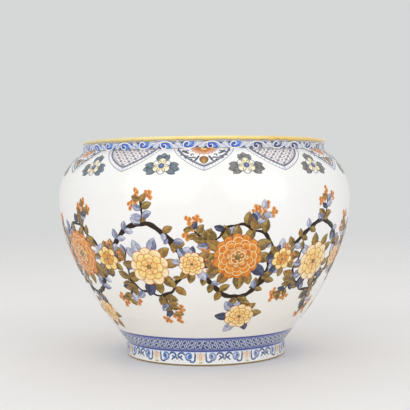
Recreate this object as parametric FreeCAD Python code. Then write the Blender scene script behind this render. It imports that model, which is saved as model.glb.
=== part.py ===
import FreeCAD, Part
import math
import os

# Earthenware planter: a round-bellied cachepot on a foot ring, luted together
# from turned sections. Millimetres, +Z up, origin at the centre of the foot's face.

# Driving dimensions of the outer form, from the ground up
foot_radius = 98.3
foot_batter = 0.6
foot_height = 17.5
bowl_height = 177.9
belly_radius = 180.0
shoulder_height = 54.7
shoulder_inset = 30.7
collar_flare = 0.6
collar_height = 8.1
lip_overhang = 1.2
lip_height = 5.8
lip_outer_round = 2.9
lip_inner_round = 3.2

# Walls
wall = 8.0
base_wall = 10.0
neck_wall = 7.0
floor_thickness = 10.0

# Foot ring and the disc that closes it
foot_recess = 13.0
bearing_width = 10.0
foot_bevel = 1.4
foot_inner_taper = 4.4
disc_ledge = 6.0
slip_clearance = 0.15

# How far each luted seam drops from the outside to the inside, so that it centres itself
belly_seam_drop = 3.0
neck_seam_drop = 2.0
lip_seam_drop = 1.5

# Stations of the outline, from the widest line down: shares of the bowl's height
# and of its overhang past the foot
bowl_station_shares = ((0.684, 0.880), (0.452, 0.666), (0.228, 0.380))
# Straight tapers that line one stretch of the outside
bowl_lining_tapers = 2
shoulder_lining_tapers = 5

# Sizes that follow from the driving ones
belly_height = foot_height + bowl_height
neck_height = belly_height + shoulder_height
collar_top = neck_height + collar_height
pot_height = collar_top + lip_height
neck_radius = belly_radius - shoulder_inset
collar_top_radius = neck_radius + collar_flare
lip_radius = collar_top_radius + lip_overhang
mouth_radius = neck_radius - neck_wall
floor_top = foot_recess + floor_thickness
foot_face_radius = foot_radius - foot_batter
bearing_inner_radius = foot_face_radius - foot_bevel - bearing_width
recess_radius = bearing_inner_radius - foot_inner_taper
disc_radius = recess_radius + disc_ledge
disc_seat_radius = disc_radius + slip_clearance

TURN = 360.0
CENTRE = FreeCAD.Vector(0, 0, 0)
UP = FreeCAD.Vector(0, 0, 1)
OUT = FreeCAD.Vector(1, 0, 0)


def at(radius, height):
    """A point of an outline, by its distance from the axis and its height."""
    return OUT * radius + UP * height


def run(*points):
    """Straight edges from each point to the next."""
    return [Part.makeLine(a, b) for a, b in zip(points, points[1:])]


def arcs_through(start, along, stations):
    """Arcs from one station to the next, each tangent to the one before."""
    edges = []
    for end in stations:
        chord = end - start
        forward = chord / chord.Length
        aside = along - forward * along.dot(forward)
        rise = chord.Length / 2 * math.tan(along.getAngle(chord) / 2)
        middle = (start + end) / 2 + aside / aside.Length * rise
        edges.append(Part.Arc(start, middle, end).toShape())
        along = forward * (2 * along.dot(forward)) - along
        start = end
    return edges


def turned(edges):
    """The solid that a closed outline sweeps in one turn about the axis."""
    face = Part.Face(Part.Wire(edges))
    return Part.makeSolid(face.revolve(CENTRE, UP, TURN))


def under_belly():
    """The outside from the widest line down to the foot: three arcs and a straight flank."""
    overhang = belly_radius - foot_radius
    stations = [
        at(foot_radius + overhang * out, foot_height + bowl_height * up)
        for up, out in bowl_station_shares
    ]
    arcs = arcs_through(at(belly_radius, belly_height), -UP, stations)
    return arcs + run(stations[-1], at(foot_radius, foot_height))


def over_belly():
    """The outside from the widest line up to the neck: one arc."""
    return arcs_through(at(belly_radius, belly_height), UP, [at(neck_radius, neck_height)])


def lining(outside, tapers, first_depth, last_depth):
    """Points set in square from the outside, by a depth that changes along it."""
    points = []
    count = len(outside) * tapers
    for place in range(1, count + 1):
        edge = outside[(place - 1) // tapers]
        share = ((place - 1) % tapers + 1) / tapers
        spot = edge.FirstParameter + (edge.LastParameter - edge.FirstParameter) * share
        along = edge.tangentAt(spot)
        if along.z < 0:
            along = -along
        depth = first_depth + (last_depth - first_depth) * place / count
        points.append(edge.valueAt(spot) + at(-along.z, along.x) * depth)
    return points


def foot_ring():
    """The turned ring that the pot stands on, with a ledge inside for the base disc."""
    return turned(run(
        at(bearing_inner_radius, 0),
        at(foot_face_radius - foot_bevel, 0),
        at(foot_face_radius, foot_bevel),
        at(foot_radius, foot_height),
        at(disc_seat_radius, foot_height),
        at(disc_seat_radius, foot_recess),
        at(recess_radius, foot_recess),
        at(bearing_inner_radius, 0),
    ))


def base_disc():
    """The floor: a disc that lies on the foot ring's ledge, with the bowl luted round it."""
    return turned(run(
        at(0, foot_recess),
        at(disc_radius, foot_recess),
        at(disc_radius, floor_top),
        at(0, floor_top),
        at(0, foot_recess),
    ))


def lower_bowl():
    """The flaring bowl between the foot ring and the belly, thicker towards its base."""
    outside = under_belly()
    inner_edge = at(belly_radius - wall, belly_height - belly_seam_drop)
    lined = lining(outside, bowl_lining_tapers, wall, base_wall)
    return turned([
        *outside,
        *run(
            at(foot_radius, foot_height),
            at(disc_seat_radius, foot_height),
            at(disc_seat_radius, floor_top),
            *reversed(lined),
            inner_edge,
            at(belly_radius, belly_height),
        ),
    ])


def upper_bowl():
    """The shoulder that turns in from the belly to the straight throat."""
    outside = over_belly()
    inner_edge = at(belly_radius - wall, belly_height - belly_seam_drop)
    lined = lining(outside, shoulder_lining_tapers, wall, wall)
    climb = (lined[-1] - lined[-2]) / (lined[-1] - lined[-2]).x
    throat_foot = lined[-1] + climb * (mouth_radius - lined[-1].x)
    return turned([
        *outside,
        *run(
            at(neck_radius, neck_height),
            at(mouth_radius, neck_height - neck_seam_drop),
            throat_foot,
            *reversed(lined[:-1]),
            inner_edge,
            at(belly_radius, belly_height),
        ),
    ])


def neck_collar():
    """The low collar above the shoulder's crease, which flares a little to the lip."""
    return turned(run(
        at(neck_radius, neck_height),
        at(collar_top_radius, collar_top),
        at(mouth_radius, collar_top - lip_seam_drop),
        at(mouth_radius, neck_height - neck_seam_drop),
        at(neck_radius, neck_height),
    ))


def softened(start, corner, end):
    """A corner rounded off in two cuts that meet on the round."""
    centre = start + end - corner
    return [start, centre + (corner - centre) * math.sqrt(0.5), end]


def rim_lip():
    """The bead round the mouth, which stands out a little past the collar."""
    return turned(run(
        at(collar_top_radius, collar_top),
        *softened(
            at(lip_radius, pot_height - lip_outer_round),
            at(lip_radius, pot_height),
            at(lip_radius - lip_outer_round, pot_height),
        ),
        *softened(
            at(mouth_radius + lip_inner_round, pot_height),
            at(mouth_radius, pot_height),
            at(mouth_radius, pot_height - lip_inner_round),
        ),
        at(mouth_radius, collar_top - lip_seam_drop),
        at(collar_top_radius, collar_top),
    ))


SECTIONS = {
    "foot_ring": foot_ring,
    "base_disc": base_disc,
    "lower_bowl": lower_bowl,
    "upper_bowl": upper_bowl,
    "neck_collar": neck_collar,
    "rim_lip": rim_lip,
}

os.makedirs("parts", exist_ok=True)
for name, make in SECTIONS.items():
    solid = make()
    solid.exportStep(f"parts/{name}.step")
    box = solid.optimalBoundingBox()
    print(
        f"{name}: {len(solid.Solids)} solid, valid {solid.isValid()},"
        f" {solid.Volume:.0f} mm3, r {box.XMax:.2f}, z {box.ZMin:.2f} to {box.ZMax:.2f}")
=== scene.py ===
from math import atan2, ceil, copysign, cos, degrees, hypot, pi, radians, sin

import bpy
import numpy as np
from mathutils import Matrix, Vector


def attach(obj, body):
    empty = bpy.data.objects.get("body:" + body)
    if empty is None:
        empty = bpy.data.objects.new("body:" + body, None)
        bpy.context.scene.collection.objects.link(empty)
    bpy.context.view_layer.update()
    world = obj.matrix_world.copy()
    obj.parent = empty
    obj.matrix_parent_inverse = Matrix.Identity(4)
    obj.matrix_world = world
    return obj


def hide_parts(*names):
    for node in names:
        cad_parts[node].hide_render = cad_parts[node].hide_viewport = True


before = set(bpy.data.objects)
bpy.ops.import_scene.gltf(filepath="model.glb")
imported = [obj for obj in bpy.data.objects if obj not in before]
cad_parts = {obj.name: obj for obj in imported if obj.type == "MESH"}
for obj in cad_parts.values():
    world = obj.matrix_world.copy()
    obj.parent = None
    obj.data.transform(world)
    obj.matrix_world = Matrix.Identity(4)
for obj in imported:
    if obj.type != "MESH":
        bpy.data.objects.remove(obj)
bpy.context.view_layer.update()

# Earthenware planter: a glazed, painted cachepot. Sizes of the pot and its painting are in millimetres,
# and become metres where a mesh is made. Angle 0 faces the camera and grows to its right.

MM = 0.001
FULL = 2 * pi
SAME_PLANE = 0.05   # the most that heights in one plane differ
SAME_POINT = 1e-6
LEAST = 1e-9        # keeps a length or an angle from being nought
ENAMEL_ROOM = 0.2   # kept free at the widest line for the raised enamel
DRAWS = np.random.default_rng(11)


def sway(most):
    return DRAWS.uniform(-most, most)


# ---- Sizes from the frame


def shell(node):
    """A CAD node's points as distance from the axis and height."""
    points = np.array([v.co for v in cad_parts[node].data.vertices], float) / MM
    return np.stack([np.hypot(points[:, 0], points[:, 1]), points[:, 2]], 1)


def radii(node, height):
    """A node's least and greatest radius at a height."""
    points = shell(node)
    found = points[abs(points[:, 1] - height) < SAME_PLANE, 0]
    return found.min(), found.max()


def level(node, end):
    """The radius and height of a node's lowest (0) or highest (1) plane."""
    heights = shell(node)[:, 1]
    height = (heights.min(), heights.max())[end]
    return radii(node, height)[1], height


foot_top = foot_radius, foot_height = level("foot_ring", 1)
belly_radius, belly_height = level("lower_bowl", 1)
belly_radius -= ENAMEL_ROOM
widest = belly_radius, belly_height
neck = neck_radius, neck_height = level("upper_bowl", 1)
collar = collar_radius, collar_height = level("neck_collar", 1)
pot_height = level("rim_lip", 1)[1]
lip_radii = shell("rim_lip")[:, 0]
mouth_radius, lip_radius = lip_radii.min(), lip_radii.max()
disc_radius, floor_height = level("base_disc", 1)
ceiling_height = level("base_disc", 0)[1]
bearing_inner, bearing_outer = radii("foot_ring", 0.0)
recess_radius = radii("foot_ring", ceiling_height)[0]

# The bowl's outline: shares of its height and of its overhang past the foot
BOWL_STATIONS = ((0.684, 0.880), (0.452, 0.666), (0.228, 0.380))
WALL = 8.0
BASE_WALL = 10.0
LIP_ROUND = 2.9
FOOT_BEVEL = 1.4
bevel_top = (bearing_outer + FOOT_BEVEL, FOOT_BEVEL)

# ---- Outline of the pot, in runs of points and directions


def rotated(direction, angles):
    """A direction turned by each of the angles."""
    c, s = np.cos(angles), np.sin(angles)
    return np.stack([direction[0] * c - direction[1] * s, direction[0] * s + direction[1] * c], 1)


def arc(start, along, end, step):
    """An arc that leaves start along a direction and meets end."""
    start, along, end = (np.asarray(v, float) for v in (start, along, end))
    chord = end - start
    turn = atan2(along[0] * chord[1] - along[1] * chord[0], along @ chord)
    length = hypot(*chord)
    t = np.linspace(0, 1, max(2, ceil(length / step)) + 1)
    reach = t if abs(turn) < LEAST else np.sin(turn * t) / sin(turn)
    return start + length * reach[:, None] * rotated(along, turn * t), rotated(along, 2 * turn * t)


def line(start, end, step):
    """A straight run."""
    start, end = np.asarray(start, float), np.asarray(end, float)
    length = hypot(*(end - start))
    t = np.linspace(0, 1, max(1, ceil(length / step)) + 1)[:, None]
    return start + (end - start) * t, np.repeat([(end - start) / length], len(t), 0)


def joined(*runs):
    """Runs put together end to end."""
    return tuple(np.vstack(parts) for parts in zip(*runs))


def reversed_run(run):
    """A run gone the other way."""
    return run[0][::-1], -run[1][::-1]


def faced(run):
    """A run's points and normals, which are on its right."""
    points, along = run
    return points, np.stack([along[:, 1], -along[:, 0]], 1)


def measured(run, begin=0.0):
    """Distances along a run, from begin."""
    steps = np.hypot(*np.diff(run[0], axis=0).T)
    return begin + np.concatenate([[0], np.cumsum(steps)])


def bowl_outside(step):
    """The outside of the bowl, from the foot up to the widest line."""
    overhang = belly_radius - foot_radius
    bowl_height = belly_height - foot_height
    at, along, runs = np.array(widest), np.array([0.0, -1.0]), []
    for up, out in BOWL_STATIONS:
        end = np.array([foot_radius + overhang * out, foot_height + bowl_height * up])
        runs.append(arc(at, along, end, step))
        at, along = end, runs[-1][1][-1]
    runs.append(line(at, foot_top, step))
    return reversed_run(joined(*runs))


def shoulder_outside(step):
    """The outside of the shoulder, from the widest line up to the neck."""
    return arc(widest, (0.0, 1.0), neck, step)


# The painted skin, by distance up the outline from the crease between foot and bowl
SKIN_STEP = 1.0
PAST = 1e-6   # sets apart the two sides of a crease
collar_run = line(neck, collar, SKIN_STEP)
foot_skin, bowl_skin, shoulder_skin, collar_skin = map(faced, (
    line(bevel_top, foot_top, SKIN_STEP), bowl_outside(SKIN_STEP), shoulder_outside(SKIN_STEP), collar_run))
foot_places, bowl_places = measured(foot_skin), measured(bowl_skin)
foot_places -= foot_places[-1] + PAST
shoulder_places = measured(shoulder_skin, bowl_places[-1])
NECK = shoulder_places[-1]
collar_places = measured(collar_skin, NECK + PAST)
COLLAR = collar_places[-1] - NECK
PLACES = np.concatenate([foot_places, bowl_places, shoulder_places[1:], collar_places])
SPOTS, FACES = joined(foot_skin, bowl_skin, [part[1:] for part in shoulder_skin], collar_skin)


def girth(along):
    """The pot's radius at a distance up the outline."""
    return np.interp(along, PLACES, SPOTS[:, 0])


def on_skin(turn, along, lift):
    """Points over the glaze, in metres."""
    radius = girth(along) + lift * np.interp(along, PLACES, FACES[:, 0])
    height = np.interp(along, PLACES, SPOTS[:, 1]) + lift * np.interp(along, PLACES, FACES[:, 1])
    return np.stack([radius * np.sin(turn), -radius * np.cos(turn), height], -1) * MM


# ---- Materials


def tone(red, green, blue):
    """A colour as it looks on a screen, as Blender's shaders take it."""
    shares = np.array([red, green, blue]) / 255
    return tuple(np.where(shares <= 0.04045, shares / 12.92, ((shares + 0.055) / 1.055) ** 2.4))


PALETTE = {name: tone(*shown) for name, shown in {
    "white": (247, 247, 246), "silver": (210, 213, 219), "ice": (210, 220, 238), "lavender": (196, 200, 226),
    "neck_ground": (198, 200, 216), "periwinkle": (120, 136, 200), "sky": (112, 160, 226),
    "cobalt": (44, 100, 212), "steel": (72, 120, 182), "steel_grey": (88, 116, 172), "denim": (54, 78, 130),
    "denim_grey": (74, 90, 134), "blue_ground": (64, 86, 156), "indigo": (62, 72, 132), "navy": (56, 68, 150),
    "ink": (52, 56, 92), "plum": (128, 136, 184), "plum_dark": (88, 94, 142), "mauve": (186, 180, 190),
    "mauve_dark": (118, 112, 122), "mauve_cross": (196, 186, 194), "umber": (148, 120, 116),
    "ash": (160, 162, 160), "slate": (118, 124, 130), "slate_dark": (88, 92, 102),
    "leaf_navy": (46, 52, 82), "leaf_blue": (96, 106, 142), "leaf_grey": (154, 160, 184),
    "leaf_pale": (202, 205, 218), "leaf_mist": (214, 214, 220), "leaf_teal": (134, 154, 166),
    "leaf_stone": (158, 152, 145), "olive": (184, 154, 70), "olive_mid": (148, 118, 40),
    "olive_rust": (172, 122, 44), "olive_dark": (106, 80, 20), "bark": (44, 30, 16), "rust": (164, 90, 40),
    "brick": (206, 156, 150), "orange_deep": (208, 118, 20), "orange": (234, 156, 34),
    "orange_pale": (252, 212, 142), "tan": (222, 184, 152), "peach": (247, 220, 192),
    "cream": (252, 245, 222), "yellow": (246, 206, 92), "yellow_pale": (254, 240, 182),
    "ochre_line": (150, 124, 60),
}.items()}


class Nodes:
    """The nodes of a material or a world."""

    def __init__(self, owner):
        owner.use_nodes = True
        self.owner, self.tree = owner, owner.node_tree

    def feed(self, node, values):
        """Gives each of a node's sockets a number, a colour or another node's output."""
        for socket, value in values.items():
            if isinstance(value, (int, float)):
                node.inputs[socket].default_value = value
            elif isinstance(value, tuple):
                node.inputs[socket].default_value = (*value, 1.0)
            else:
                self.tree.links.new(value, node.inputs[socket])

    def node(self, kind, values=(), **settings):
        """A new node with its settings and what its sockets take."""
        made = self.tree.nodes.new("ShaderNode" + kind)
        for name, value in settings.items():
            setattr(made, name, value)
        self.feed(made, dict(values))
        return made

    def mixed(self, share, first, second):
        """Two shaders mixed by a share."""
        return self.node("MixShader", {"Fac": share, 1: first.outputs[0], 2: second.outputs[0]})

    def output(self, kind, shader):
        """Gives the material or world its last node."""
        self.feed(self.tree.nodes[kind + " Output"], {"Surface": shader.outputs[0]})
        return self.owner


class Shader(Nodes):
    """A Principled material."""

    def __init__(self, name, roughness, coat, shine=0.5):
        super().__init__(bpy.data.materials.new(name))
        self.surface = self.tree.nodes["Principled BSDF"]
        self.feed(self.surface, {"IOR": 1.5, "Roughness": roughness, "Coat Weight": coat,
                                 "Coat Roughness": 0.06, "Specular IOR Level": shine})
        self.place = self.node("TexCoord").outputs["Object"]

    def texture(self, kind, output, values, **settings):
        """One output of a texture in the pot's own frame."""
        return self.node("Tex" + kind, {"Vector": self.place, **values}, **settings).outputs[output]

    def noise(self, scale, detail=3.0):
        return self.texture("Noise", "Fac", {"Scale": scale, "Detail": detail})

    def axes(self):
        """The place's X, Y and Z."""
        return self.node("SeparateXYZ", {"Vector": self.place}).outputs

    def spread(self, source, low, high, to_low, to_high):
        """A source whose range from low to high becomes another range."""
        return self.node("MapRange", {"Value": source, "From Min": low, "From Max": high,
                                      "To Min": to_low, "To Max": to_high}).outputs["Result"]

    def scaled_sum(self, first, second, factor):
        """The first plus the second times a factor."""
        part = self.node("Math", {0: second, 1: factor}, operation="MULTIPLY").outputs["Value"]
        return self.node("Math", {0: first, 1: part}, operation="ADD").outputs["Value"]

    def mix(self, share, first, second, blend="MIX"):
        """Two colours mixed by a share."""
        made = self.node("Mix", {0: share, 6: first, 7: second}, data_type="RGBA", blend_type=blend)
        return made.outputs[2]

    def layered(self, base, *rows):
        """Colours laid over a base, each by a source with its range spread."""
        for colour, source, *ranges in rows:
            base = self.mix(self.spread(source, *ranges), base, tone(*colour))
        return base

    def finished(self, colour, gloss, patch_scale, height, depth, strength=1.0):
        """The material, with its colour, patches of gloss and relief."""
        relief = self.node("Bump", {"Height": height, "Distance": depth, "Strength": strength})
        patches = self.spread(self.noise(patch_scale), 0.3, 0.7, *gloss)
        self.feed(self.surface, {"Base Color": colour, "Roughness": patches,
                                 "Normal": relief.outputs["Normal"]})
        return self.owner


def glazed(name, coat=0.6, shine=0.5):
    """Even enamel under a clear glaze."""
    made = Shader(name + "_enamel", 0.16, coat, shine)
    return made.finished(PALETTE[name], (0.16, 0.26), 90.0, made.noise(260.0, 2.0), 0.00004)


def white_glaze(name, warmth, rings=0.0):
    """Clouded tin-white glaze, warmer low down, crazed and pinholed, ringed by the wheel."""
    made = Shader(name, 0.2, 0.8)
    craze = made.texture("Voronoi", "Distance", {"Scale": 110.0}, feature="DISTANCE_TO_EDGE")
    holes = made.texture("Voronoi", "Distance", {"Scale": 55.0}, feature="F1")
    base = made.layered(
        tone(245, 245, 244),
        ((242, 241, 237), made.noise(9.0, 4.0), 0.35, 0.7, 0.0, 1.0),
        ((240, 232, 216), made.axes()["Z"], 0.03, 0.13, warmth, 0.0),
        ((176, 160, 132), craze, 0.0, 0.02, 0.08, 0.0),
    )
    specks = made.spread(holes, 0.02, 0.035, 0.5, 0.0)
    base = made.mix(specks, base, tone(150, 132, 104))
    relief = made.scaled_sum(made.noise(14.0, 2.0), specks, -0.12)
    if rings:
        values = {"Scale": 26.0, "Distortion": 2.0, "Detail": 1.0}
        wave = made.texture("Wave", "Fac", values, bands_direction="Z")
        relief = made.scaled_sum(relief, wave, rings)
    return made.finished(base, (0.12, 0.22), 40.0, relief, 0.0006, 0.5)


def ochre_glaze():
    """The lip's ochre, with a painted highlight on top, painted warm light to the right, painted shade to the
    left, and a ragged lower edge with a painted shade line under the lip.
    """
    made = Shader("ochre_glaze", 0.2, 0.8)
    place, side = made.axes(), collar_radius * MM
    rag = made.scaled_sum(place["Z"], made.noise(130.0, 3.0), -0.004)
    base = made.layered(
        tone(206, 166, 76),
        # painted highlight: the top of the lip paler
        ((252, 240, 156), place["Z"], (collar_height + 0.3) * MM, (pot_height - 0.6) * MM, 0.0, 1.0),
        ((228, 188, 92), made.noise(45.0, 4.0), 0.45, 0.75, 0.0, 0.6),
        # painted warm light on the right side, and painted dull shade on the left side
        ((230, 184, 70), place["X"], 0.0, side * 0.8, 0.0, 0.6),
        ((196, 186, 142), place["X"], -side * 0.8, -side * 0.2, 0.45, 0.0),
        # painted shade line under the lip's roll, along the ragged lower edge of the ochre paint
        ((126, 104, 52), rag, (collar_height - 0.8) * MM, (collar_height + 0.3) * MM, 0.85, 0.0),
        ((186, 190, 204), rag, (collar_height - 1.2) * MM, (collar_height - 0.8) * MM, 1.0, 0.0),
    )
    return made.finished(base, (0.14, 0.24), 60.0, made.noise(60.0, 3.0), 0.0003, 0.4)


def bare_clay():
    """Unglazed, sandy buff clay."""
    made = Shader("bare_clay", 0.85, 0.0)
    grain = made.noise(420.0, 5.0)
    base = made.layered(tone(214, 186, 148), ((178, 146, 108), grain, 0.35, 0.7, 0.0, 1.0))
    return made.finished(base, (0.75, 0.95), 200.0, grain, 0.0003, 0.6)


def washed():
    """Brushed enamel: a strip's own tones, laid unevenly."""
    made = Shader("washed_enamel", 0.2, 0.3)
    tones = made.node("VertexColor", layer_name="tones").outputs["Color"]
    strokes = made.noise(260.0, 5.0)
    darker = made.mix(0.75, tones, tones, "MULTIPLY")
    base = made.mix(made.spread(strokes, 0.42, 0.66, 0.0, 1.0), tones, darker)
    return made.finished(base, (0.16, 0.28), 90.0, strokes, 0.00008)


WHITE = white_glaze("white_glaze", 0.5)
FOOT_WHITE = white_glaze("white_glaze_foot", 0.0)
INNER = white_glaze("white_glaze_inside", 0.35, 0.35)
OCHRE = ochre_glaze()
CLAY = bare_clay()
WASH = washed()
LINES = {name: glazed(name, 0.1, 0.2) if name == "bark" else glazed(name) for name in PALETTE}

# ---- Turned pieces

ROUND = 256   # sides of a turned piece
STEP = 2.5    # length of its faces, up the outline
NEAR = 1e-4   # a row of faces as near as this to a cut is left out


def mesh_of(name, points, faces, materials, looks):
    """A mesh with one of its materials on each face."""
    mesh = bpy.data.meshes.new(name)
    mesh.from_pydata(points, [], faces)
    for material in materials:
        mesh.materials.append(material)
    mesh.polygons.foreach_set("material_index", looks)
    return mesh


def placed(mesh, node=None):
    """A mesh's piece on the one body, for a CAD node if it replaces one."""
    piece = bpy.data.objects.new(mesh.name, mesh)
    bpy.context.scene.collection.objects.link(piece)
    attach(piece, "root")
    if node:
        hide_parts(node)


def turned(node, runs):
    """A solid of revolution from painted runs that close on each other."""
    angles = np.arange(ROUND) * FULL / ROUND
    across = np.stack([np.sin(angles), -np.cos(angles)], 1)
    points, faces, normals, looks, materials, rings = [], [], [], [], [], []

    def ring(spot):
        """The points round the axis at a spot, or those that meet it from a run before."""
        for known, made in rings[-1:] + rings[:1]:
            if np.allclose(known, spot, atol=SAME_POINT):
                return made
        radius, height = spot
        first = len(points)
        if radius < SAME_POINT:
            points.append((0.0, 0.0, height * MM))
            made = [first] * ROUND
        else:
            points.extend((radius * MM * x, radius * MM * y, height * MM) for x, y in across)
            made = list(range(first, first + ROUND))
        rings.append((spot, made))
        return made

    for spots, facing, material in runs:
        if material not in materials:
            materials.append(material)
        made = [ring(spot) for spot in spots]
        for low, high, n_low, n_high in zip(made, made[1:], facing, facing[1:]):
            for j in range(ROUND):
                k = (j + 1) % ROUND
                corners = {}
                for ends, n, i in ((low, n_low, j), (low, n_low, k), (high, n_high, k), (high, n_high, j)):
                    corners.setdefault(ends[i], (n[0] * across[i][0], n[0] * across[i][1], n[1]))
                faces.append(list(corners))
                normals += corners.values()
                looks.append(materials.index(material))
    mesh = mesh_of(node + "_glazed", points, faces, materials, looks)
    mesh.shade_smooth()
    mesh.normals_split_custom_set(normals)
    placed(mesh, node)


def painted(run, material):
    """A run with its normals and its material, which may be the name of an enamel."""
    return (*faced(run), LINES[material] if isinstance(material, str) else material)


def walls(material, *stops, step=STEP):
    """Straight runs from each stop to the next, in one material."""
    return [painted(line(a, b, step), material) for a, b in zip(stops, stops[1:])]


def cut(run, stops, *materials):
    """A run divided at distances along it, a material for each part."""
    places = measured(run)
    edges = [places[0], *stops, places[-1]]
    parts = []
    for low, high, material in zip(edges, edges[1:], materials):
        inside = places[(places > low + NEAR) & (places < high - NEAR)]
        at = np.concatenate([[low], inside, [high]])
        part = [np.stack([np.interp(at, places, values[:, i]) for i in (0, 1)], 1) for values in run]
        parts.append(painted(part, material))
    return parts


def lining(run, first, last):
    """A run's inside, the other way, set in square by a depth from first to last."""
    points, along = run
    places = measured(run)
    depth = (first + (last - first) * places / places[-1])[:, None]
    return reversed_run((points - faced(run)[1] * depth, along))


def kept(run, where):
    """The part of a run where something holds."""
    return [values[where] for values in run]


# Foot ring, with its ochre line and two lines under the crease: navy, and under it a pale ice strip that is
# painted crease shade together with blue bled from the band
OCHRE_LINE = 0.6
# the ice strip under the navy line: painted shade in the crease, with blue bled from the band
ICE_SHADE_LINE = 2.1
NAVY_LINE = 0.9
ledge = (disc_radius, ceiling_height)
disc_rim = (disc_radius, foot_height)
wall_height = foot_height - FOOT_BEVEL
turned("foot_ring", [
    *walls(CLAY, (bearing_inner, 0.0), (bearing_outer, 0.0), step=STEP * 2),
    *walls("ochre_line", (bearing_outer, 0.0), bevel_top),
    *cut(line(bevel_top, foot_top, STEP), [OCHRE_LINE, wall_height - ICE_SHADE_LINE, wall_height - NAVY_LINE],
         "ochre_line", FOOT_WHITE, "ice", "navy"),
    *walls(WHITE, foot_top, disc_rim, step=STEP * 2),
    *walls(WHITE, disc_rim, ledge, (recess_radius, ceiling_height), (bearing_inner, 0.0)),
])

# Base disc
DISC_STEP = 6.0
disc_top = (disc_radius, floor_height)
turned("base_disc", [
    *walls(WHITE, (0.0, ceiling_height), ledge, step=DISC_STEP),
    *walls(WHITE, ledge, disc_top),
    *walls(INNER, disc_top, (0.0, floor_height), step=DISC_STEP),
])

# Lower bowl, with the ground of the diaper band
BAND_TOP = 21.8
BAND_LINES = [1.8, 2.3, BAND_TOP - 3.6, BAND_TOP - 3.1, BAND_TOP]
HEEL_RISE = 3.5    # the round starts above this height over the floor
HEEL_REACH = 2.2   # and is this much longer than it is high
bowl_run = bowl_outside(STEP)
inside = lining(bowl_run, BASE_WALL, WALL)
inside = kept(inside, inside[0][:, 1] > floor_height + HEEL_RISE)
belly_inside = inside[0][0] = (belly_radius - WALL, belly_height)
end, way = inside[0][-1], inside[1][-1]
heel = arc(end, way, (end[0] - (end[1] - floor_height) * HEEL_REACH, floor_height), 1.0)
turned("lower_bowl", [
    *cut(bowl_run, BAND_LINES, "navy", "lavender", "blue_ground", "lavender", "navy", WHITE),
    *walls(WHITE, widest, belly_inside, step=STEP * 2),
    painted(inside, INNER),
    painted(heel, INNER),
    *walls(WHITE, heel[0][-1], foot_top, step=STEP * 4),
])

# Upper bowl
THROAT_ROUND = 3.0
THROAT_DROP = 1.5
throat_top = (mouth_radius, neck_height - THROAT_DROP)
shoulder_run = shoulder_outside(1.5)
inside = lining(shoulder_run, WALL, WALL)
inside = kept(inside, inside[0][:, 0] > mouth_radius + THROAT_ROUND)
turned("upper_bowl", [
    painted(shoulder_run, WHITE),
    *walls(WHITE, neck, throat_top),
    painted(arc(throat_top, (0.0, -1.0), inside[0][0], 1.0), INNER),
    painted(inside, INNER),
    *walls(WHITE, inside[0][-1], widest, step=STEP * 2),
])

# Neck collar, with its edge lines
COLLAR_LINES = [0.7, COLLAR - 0.6]
mouth_foot = (mouth_radius, collar_height)
turned("neck_collar", [
    *cut(collar_run, COLLAR_LINES, "slate_dark", "neck_ground", "slate_dark"),
    *walls(WHITE, collar, mouth_foot),
    *walls(INNER, mouth_foot, throat_top),
    *walls(WHITE, throat_top, neck),
])

# Rim lip, rounded outside and in
LIP_WAY = (0.55, 0.835)   # in which its outside leaves the collar
FLANK_DROP = 0.4          # from the foot of its round to its widest line
flank = (lip_radius, pot_height - LIP_ROUND - FLANK_DROP)
round_in = (mouth_radius, pot_height - LIP_ROUND)
top_out, top_in = (lip_radius - LIP_ROUND, pot_height), (mouth_radius + LIP_ROUND, pot_height)
turned("rim_lip", [
    painted(joined(arc(collar, LIP_WAY, flank, 0.5), arc(flank, (0.0, 1.0), top_out, 0.4),
                   line(top_out, top_in, 1.0), arc(top_in, (-1.0, 0.0), round_in, 0.4)), OCHRE),
    *walls(OCHRE, round_in, mouth_foot, step=1.0),
    *walls(OCHRE, mouth_foot, collar),
])

# ---- Painted strips

LAYER = 0.045     # each layer of enamel over the one under it
CROWN = 0.02      # how much a strip's middle stands over its edges
BED = 0.12        # how far a strip reaches into the glaze
HALF_END = 0.06   # half the width of a leaf's very ends
DAB_END = 0.12    # the angle that a dab's strip leaves out at its ends


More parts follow.
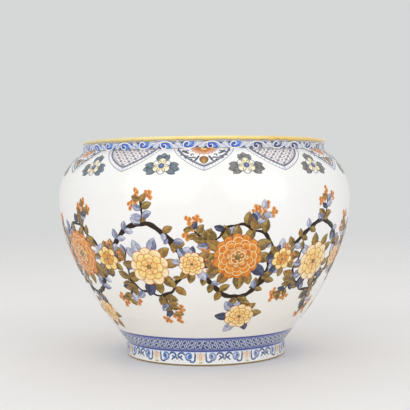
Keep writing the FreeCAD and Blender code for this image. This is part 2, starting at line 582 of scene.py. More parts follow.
class Coat:
    """The raised enamel of one piece: thin closed strips that follow the glaze."""

    def __init__(self, name, slot):
        self.name, self.slot, self.count = name, slot, 0
        self.points, self.faces, self.smooth, self.looks, self.tones, self.materials = [], [], [], [], [], []

    def strip(self, turns, alongs, halves, look, layer, across):
        """A strip along a line, by its half widths, in one colour or from one tone to another."""
        rows = len(turns)
        radius = girth(alongs)
        ways = np.stack([np.gradient(turns) * radius, np.gradient(alongs)])
        ways /= np.maximum(np.hypot(*ways), LEAST)
        share = np.linspace(-1, 1, across)
        offset = halves[:, None] * share
        turn = turns[:, None] - ways[1][:, None] * offset / radius[:, None]
        along = alongs[:, None] + ways[0][:, None] * offset
        top = on_skin(turn, along, LAYER * (layer + 1) + CROWN * (1 - share ** 2))
        under = on_skin(turn[:, [0, -1]], along[:, [0, -1]], -BED)
        grid = self.count + np.arange(rows * across).reshape(rows, across)
        base = self.count + rows * across + np.arange(rows * 2).reshape(rows, 2)
        self.count += rows * (across + 2)
        self.points += [top.reshape(-1, 3), under.reshape(-1, 3)]
        flat = np.stack([grid[:-1, :-1], grid[1:, :-1], grid[1:, 1:], grid[:-1, 1:]], -1)
        left = np.stack([grid[:-1, -1], grid[1:, -1], base[1:, 1], base[:-1, 1]], -1)
        right = np.stack([grid[1:, 0], grid[:-1, 0], base[:-1, 0], base[1:, 0]], -1)
        below = np.stack([base[:-1, 0], base[:-1, 1], base[1:, 1], base[1:, 0]], -1)
        walled = [*left.tolist(), *right.tolist(), *below.tolist(),
                  [*grid[0], base[0, 1], base[0, 0]], [*grid[-1][::-1], base[-1, 0], base[-1, 1]]]
        flat = flat.reshape(-1, 4).tolist()
        self.faces += flat + walled
        self.smooth += [True] * len(flat) + [False] * len(walled)
        material, low, high = (LINES[look], look, look) if isinstance(look, str) else (WASH, *look)
        if material not in self.materials:
            self.materials.append(material)
        self.looks += [self.materials.index(material)] * len(flat + walled)
        t = np.linspace(0, 1, rows)[:, None, None]
        tones = np.array(PALETTE[low]) * (1 - t) + np.array(PALETTE[high]) * t
        self.tones += [np.repeat(tones, across, 1).reshape(-1, 3), np.repeat(tones, 2, 1).reshape(-1, 3)]

    def finish(self):
        """The piece, with its tones as a colour of each point."""
        mesh = mesh_of(self.name, np.vstack(self.points).tolist(), self.faces, self.materials, self.looks)
        mesh.polygons.foreach_set("use_smooth", self.smooth)
        if WASH in self.materials:
            tones = np.vstack(self.tones)
            layer = mesh.color_attributes.new("tones", "FLOAT_COLOR", "POINT")
            layer.data.foreach_set("color", np.hstack([tones, np.ones((len(tones), 1))]).ravel())
        placed(mesh)


def curve(points, step=1.5, flip=1):
    """A smooth line through points, which flip may mirror."""
    p = np.array(points, float) * flip
    ends = np.vstack([2 * p[0] - p[1], p, 2 * p[-1] - p[-2]])
    parts = []
    for a, b, c, d in zip(ends, ends[1:], ends[2:], ends[3:]):
        t = np.linspace(0, 1, max(2, round(hypot(*(c - b)) / step)), endpoint=False)[:, None]
        parts.append(0.5 * (2 * b + (c - a) * t + (2 * a - 5 * b + 4 * c - d) * t ** 2
                            + (3 * b - a - 3 * c + d) * t ** 3))
    return np.vstack([*parts, p[-1:]])


def spiral(centre, first_radius, last_radius, begin, sweep, count):
    """A spiral round a centre, from an angle through a sweep, in degrees."""
    t = np.linspace(0, 1, count)
    radius = first_radius + (last_radius - first_radius) * t
    angle = np.radians(begin + sweep * t)
    return np.stack([centre[0] + radius * np.cos(angle), centre[1] + radius * np.sin(angle)], 1)


def heading(angle):
    """The direction at an angle."""
    return np.array([cos(angle), sin(angle)])


def share_of(points, share):
    """The point at a share of a line."""
    return points[round(share * (len(points) - 1))]


def blade(start, end, width, count, fullness=0.8, shift=1.0, bend=0.0):
    """Centre line and half widths of a leaf or petal between two points."""
    start, end = np.asarray(start, float), np.asarray(end, float)
    t = 0.5 - 0.5 * np.cos(np.linspace(0, pi, count))
    way = end - start
    side = np.array([-way[1], way[0]]) / max(hypot(*way), LEAST)
    centre = start + way * t[:, None] + side * (bend * np.sin(pi * t))[:, None]
    return centre, width / 2 * np.sin(pi * t ** shift) ** fullness + HALF_END


def rim_of(form, first):
    """The line round a leaf or petal, over its tip, without its first points."""
    centre, halves = form
    ways = np.gradient(centre, axis=0)
    ways /= np.maximum(np.hypot(*ways.T), LEAST)[:, None]
    side = np.stack([-ways[:, 1], ways[:, 0]], 1) * halves[:, None]
    return np.vstack([(centre - side)[first:], (centre + side)[first:][::-1]])


# Shares of a stroke over which it swells and thins
SQUARE = (0.01, 0.01)
FIRM = (0.05, 0.05)
SOFT = (0.1, 0.1)
THIN = (0.3, 0.3)


BELT_RADIUS = 170.0


class Drawing:
    """A drawing on the skin, by distances round the belt and up, in coats for shapes and for lines."""

    def __init__(self, coats):
        self.coats = coats

    def place(self, points):
        """The turns and the distances up of points."""
        return points[..., 0] / BELT_RADIUS, points[..., 1]

    def at(self, point, angle=0.0):
        """A motif's own drawing at a point of this one."""
        return Spot(self.coats, *self.place(np.asarray(point, float)), angle)

    def strip(self, points, halves, look, layer, across=3):
        self.coats[isinstance(look, str)].strip(*self.place(points), halves, look, layer, across)

    def brush(self, points, width, look, layer, ends):
        """A stroke along points, pressed at its two ends."""
        points = np.asarray(points, float)
        t = np.linspace(0, 1, len(points))
        press = np.minimum(1, np.minimum((t + 0.02) / ends[0], (1.02 - t) / ends[1]))
        self.strip(points, width / 2 * np.sqrt(press), look, layer)

    def petal(self, form, look, layer, edge, width, rise, first=2, ends=FIRM, across=3):
        """A filled shape and the line round it."""
        self.strip(*form, look, layer, across)
        self.brush(rim_of(form, first), width, edge, layer + rise, ends)

    def dot(self, x, y, radius, look, layer, count=6):
        """A round dab."""
        angle = np.linspace(DAB_END, pi - DAB_END, count)
        centre = np.stack([x - radius * np.cos(angle), np.full(count, y)], 1)
        self.strip(centre, radius * np.sin(angle), look, layer)


class Spot(Drawing):
    """A motif's drawing, turned by degrees and stretched sideways."""

    def __init__(self, coats, turn, along, angle=0.0, sideways=1.0):
        super().__init__(coats)
        self.turn, self.along, self.angle, self.sideways = turn, along, radians(angle), sideways

    def place(self, points):
        x, y = points[..., 0] * self.sideways, points[..., 1]
        c, s = cos(self.angle), sin(self.angle)
        along = self.along + x * s + y * c
        return self.turn + (x * c - y * s) / girth(along), along


def border(name, shares, unit, slot="blue_glaze"):
    """The pieces of a border, each with its share of the units."""
    first = 0
    for part, count in enumerate(shares):
        coat = Coat(f"{name}_{part + 1}", slot)
        for number in range(first, first + count):
            unit((coat, coat), number)
        coat.finish()
        first += count


# ---- Collar: waves

NECK_UNITS = 36
NECK_TURN = radians(3.5)
RIGHT_SIDE, LEFT_SIDE = 0.36, -0.3   # sines of the turn where the waves' colours and widths change


def neck_unit(coats, number):
    """A doubled wave over or under a cobalt comma, with a white curl."""
    put = Spot(coats, NECK_TURN + number * FULL / NECK_UNITS, NECK + COLLAR / 2)
    up = -1.0 if number % 2 else 1.0
    flip, aside = (1.0, up), sin(put.turn)
    # painted side light: on the right the comma is a shaded cobalt and its patch mauve, painted shade; on the
    # left cobalt and sky, painted light
    blue, pale = ("indigo", "mauve") if aside > RIGHT_SIDE else ("cobalt", "sky")
    reach = 7.4 if aside > RIGHT_SIDE else 9.4 if aside > LEFT_SIDE else 12.0
    put.strip(*blade((-reach, 0), (reach, 0), 7.8, 11, 0.42), pale, 0.0)
    comma = curve([(-2.4, 1.6), (1.0, 2.2), (3.8, 0.8), (5.2, -1.4), (5.2, -3.5)], 1.4, flip)
    put.brush(comma, 3.6, blue, 0.6, (0.1, 0.9))
    put.dot(-1.8, 0, 3.5, blue, 0.8, 10)
    put.dot(-1.2, -0.5 * up, 2.2, "navy", 1.2, 8)
    wave = curve([(-14.6, -2.6), (-10.8, -1.2), (-7.4, 2.2), (-2.6, 3.6), (2.8, 3.4), (7.0, 1.3),
                  (10.4, -1.7), (13.4, -2.9)], 2.2, flip)
    put.brush(wave + (0, -0.9 * up), 0.6, "slate", 1.4, SOFT)
    put.brush(wave, 1.2, "white", 2.2, SQUARE)
    for part, x in ((wave[:5], 0.6), (wave[-6:], -0.6)):
        put.brush(part + (x, -1.75 * up), 0.7, "white", 1.8, THIN)
    curl = np.vstack([spiral((0, 0), 4.0, 3.7, 110, 190, 12), spiral((0.3, -0.9), 2.8, 1.0, 300, 200, 9)])
    put.brush(curl * flip + (-1.8, 0), 1.15, "white", 2.3, THIN)
    for points, look in (([(7.6, 3.5), (10.2, 1.9), (12.8, 3.4)], "navy"),
                         ([(-11.2, -3.5), (-8.2, -2.2), (-5.4, -3.5)], "ink")):
        put.brush(curve(points, flip=flip), 1.7, look, 0.6, (0.4, 0.4))


border("neck_scrolls", (12, 12, 12), neck_unit)

# ---- Shoulder: lappets and small flowers

LAPPETS = 12
LAPPET_HALF = 33.0
LAPPET_DEPTH = 34.0
LAPPET_BAND = 4.9
LAPPET_STEP = 1.6
LAPPET_STRETCH = 1.06   # of the ones with a lattice
LATTICE_MIDDLE = 16
FLOWER_DROP = 27.5   # from the neck to a small flower's heart


def lappet_size(inset):
    """Half the width and the depth of a lappet, set in by some millimetres."""
    return LAPPET_HALF - inset, LAPPET_DEPTH - inset * 1.15


def lappet_half(share, half):
    """Half the width of a lappet at a share of its depth."""
    return half * (1 - np.clip(share, 0, 1) ** 1.75) ** 0.82


def lappet_line(inset, side):
    """One side of a lappet's outline from the neck down to its tip."""
    half, depth = lappet_size(inset)
    share = np.sin(np.linspace(0, 1, round((half + depth) / LAPPET_STEP)) * pi / 2) ** 1.1
    return np.stack([side * lappet_half(share, half), -depth * share], 1)


def lappet_frame(put):
    """Thin outer line, white band with dashes, and the heavy inner line."""
    for side in (1, -1):
        outer, inner = lappet_line(0.0, side), lappet_line(LAPPET_BAND, side)
        for points, width, look, layer in (
            (outer, 0.6, "slate", 0.6), (lappet_line(2.3, side), 4.0, "white", 0.0),
            (inner, 1.65, "slate_dark", 1.6), (lappet_line(LAPPET_BAND + 1.5, side), 0.45, "plum", 1.2),
        ):
            put.brush(points, width, look, layer, SQUARE)
        for share in np.linspace(0.07, 0.98, 13):
            low, high = share_of(outer, share), share_of(inner, share)
            put.brush([low, (low + high) / 2, low + (high - low) * 0.8], 0.45, "periwinkle", 1.0, SOFT)


def within(points, inset):
    """Which points lie inside a lappet's outline."""
    half, depth = lappet_size(inset)
    share = -points[:, 1] / depth
    return (share > 0.0) & (share < 1.0) & (abs(points[:, 0]) < lappet_half(share, half))


def lattice(put, slope, pitch, width, look, layer):
    """Parallel lines across a lappet, cut to its outline."""
    y = np.linspace(-0.3, -LAPPET_DEPTH, 61)
    for start in pitch * np.arange(-12, 13):
        points = np.stack([start + (y + LATTICE_MIDDLE) * slope, y], 1)
        kept = points[within(points, LAPPET_BAND + 0.6)]
        if len(kept) > 4:
            picked = np.linspace(0, len(kept) - 1, max(3, len(kept) // 2)).astype(int)
            put.brush(kept[picked], width, look, layer, SQUARE)


def lattice_lappet(coats, turn):
    """A lappet with a lattice: mauve bands, pale cross lines and a dot in each cell."""
    put = Spot(coats, turn, NECK, sideways=LAPPET_STRETCH * (-1 if sin(turn) < 0 else 1))
    lappet_frame(put)
    top = curve([(-27.0, -1.2), (-12.0, -1.5), (0.0, -1.6), (12.0, -1.5), (27.0, -1.2)], 2.0)
    put.brush(top, 1.6, "mauve", 0.4, SOFT)
    lean, pitch, fall, rows = 0.95, 10.0, 1.6, 12.8
    lattice(put, -fall, rows, 1.5, "mauve_cross", 0.6)
    lattice(put, lean, pitch, 2.1, "mauve", 1.3)
    for half, radius, look, room in ((0.0, 1.25, "mauve_dark", 0.6), (0.5, 1.15, "umber", 1.4)):
        for i in range(-6, 7):
            for j in range(-6, 7):
                up = (rows * (j + half) - pitch * (i + half)) / (lean + fall)
                x, y = pitch * (i + half) + lean * up, up - LATTICE_MIDDLE
                if within(np.array([(x, y)]), LAPPET_BAND + room)[0]:
                    put.dot(x, y, radius, look, 2.1)


def scroll(put, side):
    """Slate branches with curled ends and buds beside the half flower."""
    for points, width, look in (
        (((5.0, -13.6), (7.0, -16.8), (9.2, -20.4), (11.4, -21.2)), 2.2, "ink"),
        (((8.2, -18.2), (11.0, -16.0), (14.4, -16.6), (17.6, -15.0)), 2.0, "slate_dark"),
        (((15.6, -9.8), (19.4, -8.2), (22.6, -6.2), (26.4, -9.0)), 2.2, "ink"),
        (((20.4, -7.2), (21.4, -4.6), (24.2, -3.6)), 1.9, "slate_dark"),
        (((16.8, -13.6), (19.6, -14.0), (22.2, -12.0)), 2.0, "slate_dark"),
    ):
        put.brush(curve(points, flip=(side, 1.0)), width, look, 1.2, (0.15, 0.4))
    for centre, radius, begin in (((12.2, -12.2), 2.1, -50), ((17.6, -5.4), 2.0, -80)):
        curl = spiral(centre, radius, 0.6, begin, 280, 12) * (side, 1.0)
        put.brush(curl, 1.6, "slate_dark", 1.2, (0.1, 0.5))
    for x, y in ((13.6, -19.4), (20.2, -16.8), (24.8, -12.4), (28.0, -4.2)):
        put.dot(x * side, y, 1.25, "ink", 1.3, 5)


def flower_lappet(coats, turn):
    """A lappet with half an orange rosette under the neck, an ochre shield and slate scrolls."""
    put = Spot(coats, turn, NECK)
    lappet_frame(put)
    for count, base, reach, width, tip, rise in (
        (9, 4.0, 13.4, 4.2, "peach", 0), (7, 1.6, 8.8, 3.8, "orange", 0.9),
    ):
        for k in range(count):
            way = heading(radians(180 + (k + 0.5) * 180 / count)) * (1.12, 0.92)
            form = blade(way * base, way * reach, width, 7, 0.8, 1.2)
            put.petal(form, ("orange_deep", tip), 1.0 + (k % 2) * 0.35 + rise, "brick", 0.45, 0.9, 3)
    put.strip(*blade((-3.4, -0.9), (3.4, -0.9), 3.8, 7, 0.6, bend=-0.8), ("yellow", "yellow_pale"), 3.6)
    shield = blade((0, -14.6), (0, -25.2), 9.4, 9, 0.6, 0.8)
    put.petal(shield, ("rust", "olive"), 1.0, "olive_dark", 0.55, 1.0, 0, SQUARE)
    put.brush([(0, -18.6), (0, -21.2), (0, -24.2)], 0.8, "orange_pale", 2.0, (0.2, 0.6))
    for side in (1, -1):
        scroll(put, side)


def lobed_leaf(put, angle, reach):
    """A slate leaf with three lobes, pointing away from the flower."""
    way = heading(radians(angle))
    side = np.array([-way[1], way[0]])
    # painted side light: the leaf tips cool teal on the left side of the pot, warm stone on the right
    tip = "leaf_teal" if sin(put.turn) < 0 else "leaf_stone"
    for far, spread, width in ((reach, 0.0, 9.6), (reach - 3.0, 6.0, 7.8), (reach - 3.0, -6.0, 7.8)):
        form = blade(way * 5.0, way * far + side * spread, width, 8, 0.85, bend=spread * 0.12)
        lift = 0.5 + abs(spread) * 0.03 + (0.2 if spread < 0 else 0)
        put.petal(form, ("slate_dark", tip), lift, "slate_dark", 0.5, 0.6)
        vein = [way * 8 + side * spread * 0.3, way * (far - 3.0) + side * spread * 0.85]
        put.brush(vein, 1.2, "ink", 1.8, (0.1, 0.8))


def small_flower(coats, turn):
    """A pale six-petalled flower with a blue heart between three slate leaves."""
    put = Spot(coats, turn, NECK - FLOWER_DROP)
    for angle, reach in ((90, 19.0), (194, 21.4), (-14, 21.4)):
        lobed_leaf(put, angle, reach)
    for k in range(6):
        way = heading(radians(60 * k + 30))
        form = blade(way * 1.5, way * 10.6, 9.2, 9, 0.52)
        lift = 1.6 + (k % 2) * 0.4
        put.petal(form, ("yellow_pale", "cream") if k % 2 else ("cream", "white"), lift, "slate", 0.75, 0.9)
        put.brush(form[0][2:5], 1.3, "yellow_pale" if k % 3 else "peach", lift + 0.9, (0.1, 0.8))
    put.dot(0, 0, 3.6, "slate", 3.4, 9)
    put.dot(0, 0, 3.0, "blue_ground", 4.2, 9)
    put.dot(0.3, 0.4, 1.3, "plum", 5.0)


def spread_out(turn):
    """The border's repeat, a little wider in front than behind."""
    return turn + radians(3.2) * sin(turn) - radians(0.9) * sin(turn) ** 2


def shoulder_unit(coats, number):
    """A lappet of one of the two kinds, and a small flower after it."""
    turn = number * FULL / LAPPETS
    lappet = lattice_lappet if number % 2 else flower_lappet
    lappet(coats, spread_out(turn))
    small_flower(coats, spread_out(turn + FULL / LAPPETS / 2))


border("shoulder_border", (3, 3, 3, 3), shoulder_unit, "white_glaze")

# ---- Diaper band over the foot

DIAPER_UNITS = 76
DIAPER_MIDDLE = (BAND_TOP - 1.3) / 2


def diaper_unit(coats, number):
    """Two linked rings with dark hearts, and a bar, which lean by the side they are on."""
    put = Spot(coats, number * FULL / DIAPER_UNITS, DIAPER_MIDDLE)
    lean = -copysign(0.3, sin(put.turn)) - 0.85 * sin(put.turn)
    for up in (1, -1):
        ring = spiral((0, 0), 1.0, 1.0, -90 * up, 360, 15) * (2.45, 3.3) + (0, 3.4 * up)
        ring[:, 0] += ring[:, 1] * lean
        put.brush(ring, 0.9, "silver", 0.6, SQUARE)
        put.dot(3.4 * up * lean, 3.4 * up, 1.15, "ink", 0.4)
    y = np.linspace(-6.8, 6.8, 9)
    put.brush(np.stack([4.1 + y * lean, y], 1), 1.05, "silver", 0.8, FIRM)


border("diaper_band", (19, 19, 19, 19), diaper_unit)

# ---- Foot: scrolls

FOOT_UNITS = 11
FOOT_TURN = radians(-3.7)
FOOT_MIDDLE = -7.4
FOOT_STROKES = (
    (curve([(6.8, 5.9), (6.2, 2.6), (6.7, -0.8), (6.6, -3.1), (7.9, -4.9), (10.2, -5.3), (12.2, -4.6),
            (11.7, -2.6)]), 1.95),
    (spiral((13.4, 1.4), 5.1, 1.3, -118, 478, 34), 2.05),
    (curve([(18.4, 2.4), (20.6, 4.8), (23.2, 5.2), (25.6, 3.9), (26.6, 1.9), (25.4, 0.2), (23.2, -1.2),
            (20.6, -3.7)]), 2.3),
    (curve([(25.2, 0.4), (23.8, 0.3), (22.6, 1.5)]), 1.6),
)


def foot_unit(coats, number):
    """Mirrored blue scrolls, a small blossom between them and a ring at their ends."""
    turn = FOOT_TURN + number * FULL / FOOT_UNITS
    middle = Spot(coats, turn, FOOT_MIDDLE)
    for x, y, tall in ((0, 0.6, 9.0), (-3.6, 0.4, 7.0), (3.6, 0.4, 7.0)):
        form = blade((x * 0.4, -5.0), (x, y + tall * 0.62), 3.2, 7, 0.8, 1.3)
        middle.strip(*form, ("cream", "peach") if x else ("cream", "tan"), 0.6 + (x == 0) * 0.5)
        middle.brush(rim_of(form, 2), 0.4, "brick" if x else "tan", 1.8, SOFT)
    middle.strip(*blade((-3.0, -6.0), (3.0, -6.0), 2.0, 7, 0.7), ("yellow_pale", "olive"), 1.2)
    for side in (1, -1):
        put = Spot(coats, turn, FOOT_MIDDLE, sideways=side)
        # painted side light: scrolls on the right get greyer shaded blues with lavender, painted shade; those
        # on the left brighter blues with sky
        right = sin(turn + 0.2 * side) > 0
        dark, mid, light = ("denim_grey", "steel_grey", "lavender") if right else ("denim", "steel", "sky")
        put.dot(13.4, 1.4, 4.0, "ice", 0.1, 9)
        tones = ((dark, mid), (mid, light), (dark, mid), (dark, mid))
        for (points, width), (shade, sheen) in zip(FOOT_STROKES, tones):
            put.brush(points, width, shade, 0.4, (0.12, 0.2))
            put.brush(points[1:-1] + (0.2, 0.3), width * 0.4, sheen, 1.4, THIN)
        put.dot(12.9, 1.8, 1.5, dark, 1.2)
        put.dot(22.5, 1.4, 1.1, dark, 1.2)
        put.dot(25.2, -4.8, 0.6, "ash", 0.6, 5)
    ends = Spot(coats, turn + FULL / FOOT_UNITS / 2, FOOT_MIDDLE)
    ends.brush(spiral((0, -1.4), 1.3, 1.3, 90, 360, 12), 0.9, "slate", 0.6, SQUARE)
    ends.dot(0, -1.4, 0.7, "ash", 0.6, 5)


border("foot_scrolls", (4, 4, 3), foot_unit)

# ---- Belly: flowering vine

# Rings of petals: their number, begin and end as shares of the radius, tones and rim
ROSETTES = {
    "orange": ((14, 0.56, 1.0, ("orange_deep", "orange"), "rust"),
               (12, 0.42, 0.82, ("orange_deep", "orange"), "yellow_pale"),
               (10, 0.28, 0.64, ("orange_deep", "orange"), "orange_pale"),
               (8, 0.16, 0.47, ("orange_deep", "orange_pale"), "rust"),
               (5, 0.06, 0.30, ("rust", "orange"), "yellow_pale")),
    "yellow": ((9, 0.40, 1.0, ("yellow", "cream"), "orange_deep"),
               (8, 0.26, 0.72, ("yellow", "yellow_pale"), "orange_deep"),
               (6, 0.10, 0.45, ("orange", "yellow_pale"), "orange_deep")),
    "plain": ((7, 0.20, 1.0, ("yellow", "yellow_pale"), "rust"),
              (5, 0.10, 0.58, ("orange_deep", "yellow"), "rust")),
}
RING_RISE = 2.3    # layers from one ring of petals to the next
PETAL_RISE = 1.2   # and from one petal to its neighbour


def rosette(put, radius, kind, layer):
    """A garden rosette in rings of rounded petals."""
    rings = ROSETTES[kind]
    for order, (count, low, high, look, edge) in enumerate(rings):
        width = FULL * radius * (low + high) / 2 / count * 1.3
        for k in range(count):
            way = heading(FULL * (k + order * 0.5) / count)
            reach = radius * high * (1 + 0.06 * sin(3.1 * k + order))
            form = blade(way * radius * low, way * reach, width, 8, 0.5, 1.15)
            lift = layer + order * RING_RISE + (k % 2) * PETAL_RISE
            put.petal(form, look, lift, edge, 0.7, 0.6, ends=(0.04, 0.04), across=5)
            if order < 2:
                put.brush(form[0][2:6], 0.4, "orange_deep", lift + 0.7, (0.2, 0.5))
    top = layer + len(rings) * RING_RISE
    put.dot(0, 0, radius * 0.13, ("olive_dark", "olive"), top + 0.4, 8)
    for k in range(6):
        x, y = radius * 0.16 * heading(FULL * k / 6)
        put.dot(x, y, max(0.5, radius * 0.03), "yellow_pale", top + 1.4, 5)


# A leaf's tones, those of its darker half, and its rim
OLIVE_LEAF = (("olive_mid", "olive"), ("olive_dark", "olive_mid"), "olive_dark")
RUST_LEAF = (("olive_rust", "olive"), ("olive_mid", "olive_rust"), "olive_dark")
LEAVES = (
    OLIVE_LEAF, OLIVE_LEAF,
    (("leaf_navy", "leaf_blue"), ("ink", "leaf_navy"), "leaf_navy"),
    (("leaf_grey", "leaf_pale"), ("leaf_blue", "leaf_grey"), "plum_dark"),
    OLIVE_LEAF, RUST_LEAF, RUST_LEAF,
    (("leaf_pale", "leaf_mist"), ("leaf_grey", "leaf_pale"), "plum"),
)


def leaf(put, lengths, layer, share=1.0):
    """An oval leaf of a kind that is drawn, with a darker half, a vein and a rim."""
    length = DRAWS.uniform(*lengths) * share
    tones, shade, edge = LEAVES[DRAWS.integers(0, len(LEAVES))]
    whole = blade((0.6, 0), (length, 0), length * 0.6, 9, 0.75, 0.85, length * 0.06)
    half = blade((length * 0.08, -length * 0.06), (length * 0.94, -length * 0.01), length * 0.3,
                 7, 0.75, 0.85, -length * 0.08)
    vein = [(0.8, 0), (length * 0.4, length * 0.04), (length * 0.86, length * 0.02)]
    put.petal(whole, tones, layer, edge, 0.42, 0.9, 1, (0.03, 0.03))
    put.strip(*half, shade, layer + 0.5)
    put.brush(vein, 0.45, edge, layer + 0.9, (0.05, 0.6))


def blossom(put, size):
    """A little orange blossom of five petals."""
    for k in range(5):
        way, tip = heading(FULL * k / 5), "orange" if k % 2 else "orange_pale"
        form = blade(way * 0.3, way * size, size * 0.9, 6, 0.6)
        put.strip(*form, ("orange_deep", tip), 0.8 + (k % 2) * 0.3)
    put.dot(0, 0, size * 0.24, "rust", 2.2, 5)


def branch(put, points, thick, thin, layer=0.4):
    """A knotty stem that thins towards its tip, rounded at both ends."""
    t = np.linspace(0, 1, len(points))
    knots = 1 + 0.3 * np.sin(t * len(points) * 0.9 + DRAWS.uniform(0, 6)) * (t > 0.05) * (t < 0.95)
    ends = np.sqrt(np.clip(np.minimum((t + 0.01) * 18, (1.01 - t) * 18), 0.05, 1))
    put.strip(points, (thick + (thin - thick) * t) / 2 * knots * ends, "bark", layer)


def leaves_round(put, count, out, lengths, layer):
    """Leaves that point out from under a flower."""
    for k in range(count):
        lean = 360 * (k + sway(0.25)) / count
        leaf(put.at(heading(radians(lean)) * out, lean), lengths, layer + 1.3 * (k % 2))


def spray(put, length, bend, flower=0.0):
    """A twig with leaves, blossoms, and at its tip a flower of some radius or buds."""
    spine = curve([(0, 0), (length * 0.3, bend * 0.7), (length * 0.66, bend), (length, bend * 0.5)], 3.0)
    branch(put, spine, 3.4, 1.4)
    for k, share in enumerate((0.1, 0.28, 0.46, 0.64, 0.78)):
        for side in (1, -1):
            if (k + (side > 0)) % 5 != 4:
                lean = degrees(put.angle) + side * DRAWS.uniform(38, 76)
                leaf(put.at(share_of(spine, share), lean), (11.0, 15.5), 0.5 + 0.3 * k, 1 - 0.3 * share)
    for side, share in ((1, 0.4), (-1, 0.6)):
        at = share_of(spine, share)
        tip = at + (length * 0.26, side * length * 0.28)
        twig = curve([at, at + (length * 0.12, side * length * 0.07), tip], 3.0)
        put.brush(twig, 1.5, "bark", 0.5, (0.1, 0.5))
        for shift in ((0, 0), (-3.0, side * 2.6), (2.4, side * 2.8), (3.6, -side * 1.2)):
            size = DRAWS.uniform(2.3, 3.3)
            blossom(put.at(tip + shift, DRAWS.uniform(0, 72)), size)
    if flower:
        leaves_round(put.at(spine[-1]), 6, flower * 0.6, (flower * 0.8, flower * 1.1), 1.6)
        rosette(put.at(spine[-1], DRAWS.uniform(0, 60)), flower, "yellow", 4.6)
        return
    for k in range(5):
        bud = spine[-1] + (3.0 - 3.4 * k, (-1) ** k * (0.5 + k * 0.6))
        blossom(put.at(bud, DRAWS.uniform(0, 72)), 3.3 - 0.5 * (k == 0))


LOBES = 10
LOBE = FULL * BELT_RADIUS / LOBES
VINE_PIECES = 5
VINE_MIDDLE = 128.0
VINE_SWING = 45.0
VINE_BEGIN = radians(13) * BELT_RADIUS
COIL = (43.0, 30.0, -64, 286, 52)   # the radii, begin, sweep and points of a lobe's spiral
COIL_ENDS = (4.8, 1.9)              # the widths of its branch at the root and the tip


def vine_height(x):
    return VINE_MIDDLE - VINE_SWING * np.cos(pi * (x - VINE_BEGIN) / LOBE)


def lobe(belt, number):
    """A branch that coils round a rosette in a wreath of leaves, with sprays both ways."""
    x = VINE_BEGIN + number * LOBE
    big = number % 2 == 0
    up = 1 if big else -1
    centre = np.array([x + sway(3), VINE_MIDDLE + up * 6.0 + sway(2)])
    coil = spiral((0, 0), *COIL)
    phase = np.linspace(0, 1, len(coil))[:, None]
    coil *= 1 + 0.05 * np.sin(phase * 25 + number) + 0.032 * np.sin(phase * 53 + 2 * number)
    coil = coil * (1, up) + centre
    branch(belt, coil, *COIL_ENDS, 0.5)
    radius = (28.0 if big else 23.5) + sway(1)
    leaves_round(belt.at(centre), 12 if big else 10, radius * 0.72, (16, 22), 0.2)
    rosette(belt.at(centre, DRAWS.uniform(0, 40)), radius, "orange" if big else "yellow", 3.2)
    for k, share in enumerate(np.linspace(0.04, 0.96, 15)):
        place = round(share * (len(coil) - 1))
        ahead = coil[place + 1] - coil[place]
        outward = -58 if big else 58
        lean = degrees(atan2(ahead[1], ahead[0])) + (outward if k % 4 else -outward) + sway(16)
        leaf(belt.at(coil[place], lean), (11, 16), 0.9, 1 if k % 4 else 0.7)
    middle = 30 if big else 40
    for share, length, bend, angle in ((0.2, 34, 5, 20), (0.47, middle, -4, -8), (0.74, 36, 6, -24)):
        at = share_of(coil, share)
        out = at - centre
        lean = degrees(atan2(out[1], out[0])) + angle * up + sway(8)
        spray(belt.at(at, lean), length + sway(3), bend)
    stem_end = belt.at((x, VINE_MIDDLE - up * (VINE_SWING - 2)), -90 * up + sway(14))
    spray(stem_end, 30 if big else 36, 6 * up, 17.0 if big else 0.0)
    crossing = (x + LOBE * 0.5, VINE_MIDDLE + sway(5))
    leaves_round(belt.at(crossing), 8, 9.0, (11, 16), 0.8)
    radius = 14.0 + sway(1)
    rosette(belt.at(crossing, DRAWS.uniform(0, 50)), radius, "plain" if big else "yellow", 3.8)
    for share in (0.12, 0.2, 0.3, 0.72, 0.82, 0.9):
        at = x + (share - 0.5) * LOBE
        slope = degrees(atan2(vine_height(at + 1) - vine_height(at), 1.0))
        for side in (1, -1):
            lean = slope + side * DRAWS.uniform(40, 75)
            leaf(belt.at((at, vine_height(at)), lean), (10, 14), 0.7)


for part in range(VINE_PIECES):
    coats = [Coat(f"vine_{kind}_{part + 1}", "white_glaze") for kind in ("flowers", "lines")]
    belt = Drawing(coats)
    begin = VINE_BEGIN + (part * 2 - 0.5) * LOBE
    x = np.linspace(begin, begin + 2 * LOBE, 90)
    stem = np.stack([x, vine_height(x) + 0.9 * np.sin(x * 0.21) * np.sin(pi * (x - begin) / LOBE)], 1)
    knots = 1 + 0.2 * np.sin(x * 0.55 + part) * np.sin(pi * (x - begin) / (2 * LOBE))
    belt.strip(stem, 2.8 * knots, "bark", 0.3)
    for number in (part * 2, part * 2 + 1):
        lobe(belt, number)
    for coat in coats:
        coat.finish()

# ---- Stage, lights and camera, in metres and watts

FLOOR_RINGS = (0.4, 1.0, 2.0, 4.0, 8.0)
FLOOR_SIDES = 64
FLOOR_DROP = 0.00005   # keeps the floor clear of the bearing face
FLOOR_FADE = (0.9, 3.6)
LIGHT_AIM = Vector((0.0, 0.0, 0.12))
WORLD_LIGHT = 0.74
BACKDROP = tone(214, 215, 215)


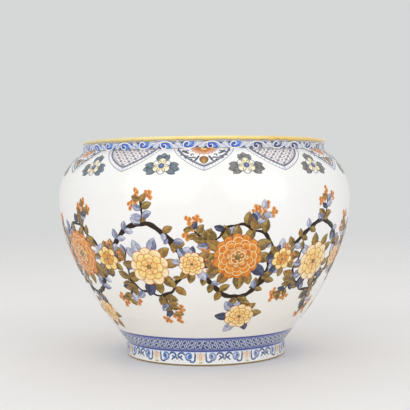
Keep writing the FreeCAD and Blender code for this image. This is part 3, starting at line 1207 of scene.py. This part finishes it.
def stage_floor():
    """A wide pale floor that fades into the backdrop with distance from the pot."""
    points, faces = [(0.0, 0.0, 0.0)], []
    for radius in FLOOR_RINGS:
        points += [(radius * sin(a), radius * cos(a), 0.0)
                   for a in np.linspace(0, FULL, FLOOR_SIDES, endpoint=False)]
    for j in range(FLOOR_SIDES):
        k = (j + 1) % FLOOR_SIDES
        faces.append((0, 1 + k, 1 + j))
        for ring in range(len(FLOOR_RINGS) - 1):
            low, high = 1 + ring * FLOOR_SIDES, 1 + (ring + 1) * FLOOR_SIDES
            faces.append((low + j, low + k, high + k, high + j))
    made = Shader("pale_floor", 0.6, 0.0, 0.3)
    base = made.layered(tone(240, 239, 238), ((237, 236, 235), made.noise(3.0, 2.0), 0.3, 0.7, 0.0, 1.0))
    made.feed(made.surface, {"Base Color": base})
    far = made.node("VectorMath", {0: made.place}, operation="LENGTH").outputs["Value"]
    material = made.output("Material", made.mixed(made.spread(far, *FLOOR_FADE, 0.0, 1.0), made.surface,
                                                  made.node("BsdfTransparent")))
    floor = bpy.data.objects.new("floor", mesh_of("floor", points, faces, [material], [0] * len(faces)))
    floor.location.z = -FLOOR_DROP
    bpy.context.scene.collection.objects.link(floor)


def backdrop():
    """Even pale light all round, and the pale backdrop that the camera sees."""
    made = Nodes(bpy.data.worlds.new("studio"))
    light = made.tree.nodes["Background"]
    made.feed(light, {"Color": (1.0, 1.0, 1.0), "Strength": WORLD_LIGHT})
    seen = made.node("Background", {"Color": BACKDROP})
    camera_ray = made.node("LightPath").outputs["Is Camera Ray"]
    bpy.context.scene.world = made.output("World", made.mixed(camera_ray, light, seen))


def softbox(name, place, size, power):
    """A square area lamp that faces the pot."""
    lamp = bpy.data.lights.new(name, "AREA")
    lamp.shape, lamp.size, lamp.energy = "SQUARE", size, power
    holder = bpy.data.objects.new(name, lamp)
    holder.location = place
    holder.rotation_euler = (holder.location - LIGHT_AIM).to_track_quat("Z", "Y").to_euler()
    bpy.context.scene.collection.objects.link(holder)


stage_floor()
backdrop()
softbox("key_light", (-1.4, -2.1, 1.3), 3.0, 21.5)
softbox("fill_light", (1.8, -2.1, 1.15), 2.6, 18.0)
softbox("top_light", (0.0, 0.6, 2.6), 2.4, 8.0)

CAMERA_PLACE = (0.0006, -1.2119, 0.2144)
CAMERA_DIP = 1.43    # degrees below the level
CAMERA_ROLL = -0.6   # degrees
scene = bpy.context.scene
camera = bpy.data.cameras.new("camera")
camera.sensor_width = 36.0
camera.lens = 85.0
holder = bpy.data.objects.new("camera", camera)
holder.matrix_world = (
    Matrix.Translation(CAMERA_PLACE)
    @ Matrix.Rotation(radians(90 - CAMERA_DIP), 4, "X")
    @ Matrix.Rotation(radians(CAMERA_ROLL), 4, "Z")
)
scene.collection.objects.link(holder)
scene.camera = holder
scene.view_settings.view_transform = "Standard"
